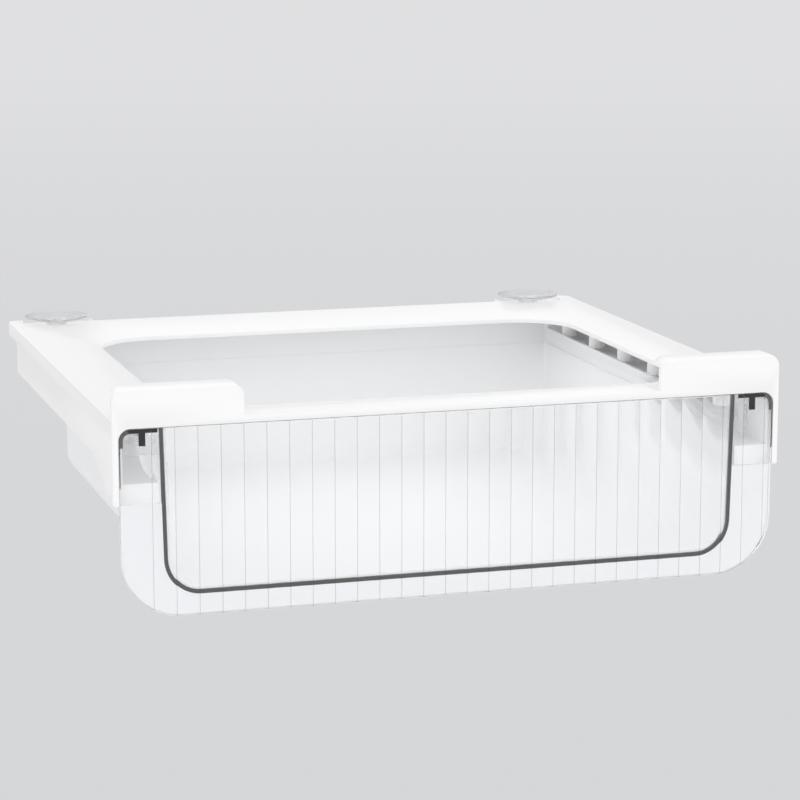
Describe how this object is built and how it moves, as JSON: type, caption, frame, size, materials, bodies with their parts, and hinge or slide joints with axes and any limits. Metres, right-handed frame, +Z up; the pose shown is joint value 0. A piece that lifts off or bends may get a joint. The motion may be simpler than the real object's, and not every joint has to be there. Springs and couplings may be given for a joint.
{
  "type": "hanging fridge drawer",
  "caption": "Pull-out drawer with a clear fluted front, in a white frame that hangs under a glass fridge shelf by front hooks and rear suction cups.",
  "frame": {"origin": "middle of the frame's flat top face, at the inner plane of the hooks that meets the front edge of the shelf", "axes": "+X to the right as seen from the front, +Y towards the back of the shelf, +Z up; the drawer opens along -Y"},
  "size_m": [0.32, 0.3028, 0.1054],
  "materials": {
    "frame_white": "semi-gloss white polypropylene",
    "tub_white": "milky white polypropylene, slightly translucent",
    "panel_clear": "clear moulded acrylic with flutes",
    "cup_clear": "clear soft vinyl",
    "seal_grey": "dark grey soft strip",
    "roller_white": "white acetal",
    "pin_steel": "plain steel",
    "screw_steel": "zinc-plated steel"
  },
  "bodies": {
    "frame": {"top_frame": "frame_white", "rail_left": "frame_white", "rail_right": "frame_white", "rail_screws_left": "screw_steel", "rail_screws_right": "screw_steel", "suction_cup_left": "cup_clear", "suction_cup_right": "cup_clear", "roller_pins_left": "pin_steel", "roller_pins_right": "pin_steel"},
    "drawer": {"drawer_tub": "tub_white", "panel_seal": "seal_grey", "front_panel": "panel_clear"},
    "roller_left_1": {"roller_left_1": "roller_white"},
    "roller_left_2": {"roller_left_2": "roller_white"},
    "roller_left_3": {"roller_left_3": "roller_white"},
    "roller_left_4": {"roller_left_4": "roller_white"},
    "roller_left_5": {"roller_left_5": "roller_white"},
    "roller_left_6": {"roller_left_6": "roller_white"},
    "roller_right_1": {"roller_right_1": "roller_white"},
    "roller_right_2": {"roller_right_2": "roller_white"},
    "roller_right_3": {"roller_right_3": "roller_white"},
    "roller_right_4": {"roller_right_4": "roller_white"},
    "roller_right_5": {"roller_right_5": "roller_white"},
    "roller_right_6": {"roller_right_6": "roller_white"}
  },
  "joints": [
    {"name": "drawer_slide", "type": "slide", "parent": "frame", "child": "drawer", "axis": [0, -1, 0], "range_m": [0, 0.18]},
    {"name": "roller_left_1_turn", "type": "hinge", "parent": "frame", "child": "roller_left_1", "pos_m": [-0.1417, 0.0222, -0.009], "axis": [0, 0, 1], "continuous": true},
    {"name": "roller_left_2_turn", "type": "hinge", "parent": "frame", "child": "roller_left_2", "pos_m": [-0.1417, 0.0642, -0.009], "axis": [0, 0, 1], "continuous": true},
    {"name": "roller_left_3_turn", "type": "hinge", "parent": "frame", "child": "roller_left_3", "pos_m": [-0.1417, 0.1062, -0.009], "axis": [0, 0, 1], "continuous": true},
    {"name": "roller_left_4_turn", "type": "hinge", "parent": "frame", "child": "roller_left_4", "pos_m": [-0.1417, 0.1482, -0.009], "axis": [0, 0, 1], "continuous": true},
    {"name": "roller_left_5_turn", "type": "hinge", "parent": "frame", "child": "roller_left_5", "pos_m": [-0.1417, 0.1902, -0.009], "axis": [0, 0, 1], "continuous": true},
    {"name": "roller_left_6_turn", "type": "hinge", "parent": "frame", "child": "roller_left_6", "pos_m": [-0.1417, 0.2322, -0.009], "axis": [0, 0, 1], "continuous": true},
    {"name": "roller_right_1_turn", "type": "hinge", "parent": "frame", "child": "roller_right_1", "pos_m": [0.1417, 0.0222, -0.009], "axis": [0, 0, 1], "continuous": true},
    {"name": "roller_right_2_turn", "type": "hinge", "parent": "frame", "child": "roller_right_2", "pos_m": [0.1417, 0.0642, -0.009], "axis": [0, 0, 1], "continuous": true},
    {"name": "roller_right_3_turn", "type": "hinge", "parent": "frame", "child": "roller_right_3", "pos_m": [0.1417, 0.1062, -0.009], "axis": [0, 0, 1], "continuous": true},
    {"name": "roller_right_4_turn", "type": "hinge", "parent": "frame", "child": "roller_right_4", "pos_m": [0.1417, 0.1482, -0.009], "axis": [0, 0, 1], "continuous": true},
    {"name": "roller_right_5_turn", "type": "hinge", "parent": "frame", "child": "roller_right_5", "pos_m": [0.1417, 0.1902, -0.009], "axis": [0, 0, 1], "continuous": true},
    {"name": "roller_right_6_turn", "type": "hinge", "parent": "frame", "child": "roller_right_6", "pos_m": [0.1417, 0.2322, -0.009], "axis": [0, 0, 1], "continuous": true}
  ],
  "couplings": [
    {"joint": "roller_left_1_turn", "follows": "drawer_slide", "rad_per_m": -217.4},
    {"joint": "roller_left_2_turn", "follows": "drawer_slide", "rad_per_m": -217.4},
    {"joint": "roller_right_1_turn", "follows": "drawer_slide", "rad_per_m": 217.4},
    {"joint": "roller_right_2_turn", "follows": "drawer_slide", "rad_per_m": 217.4}
  ]
}
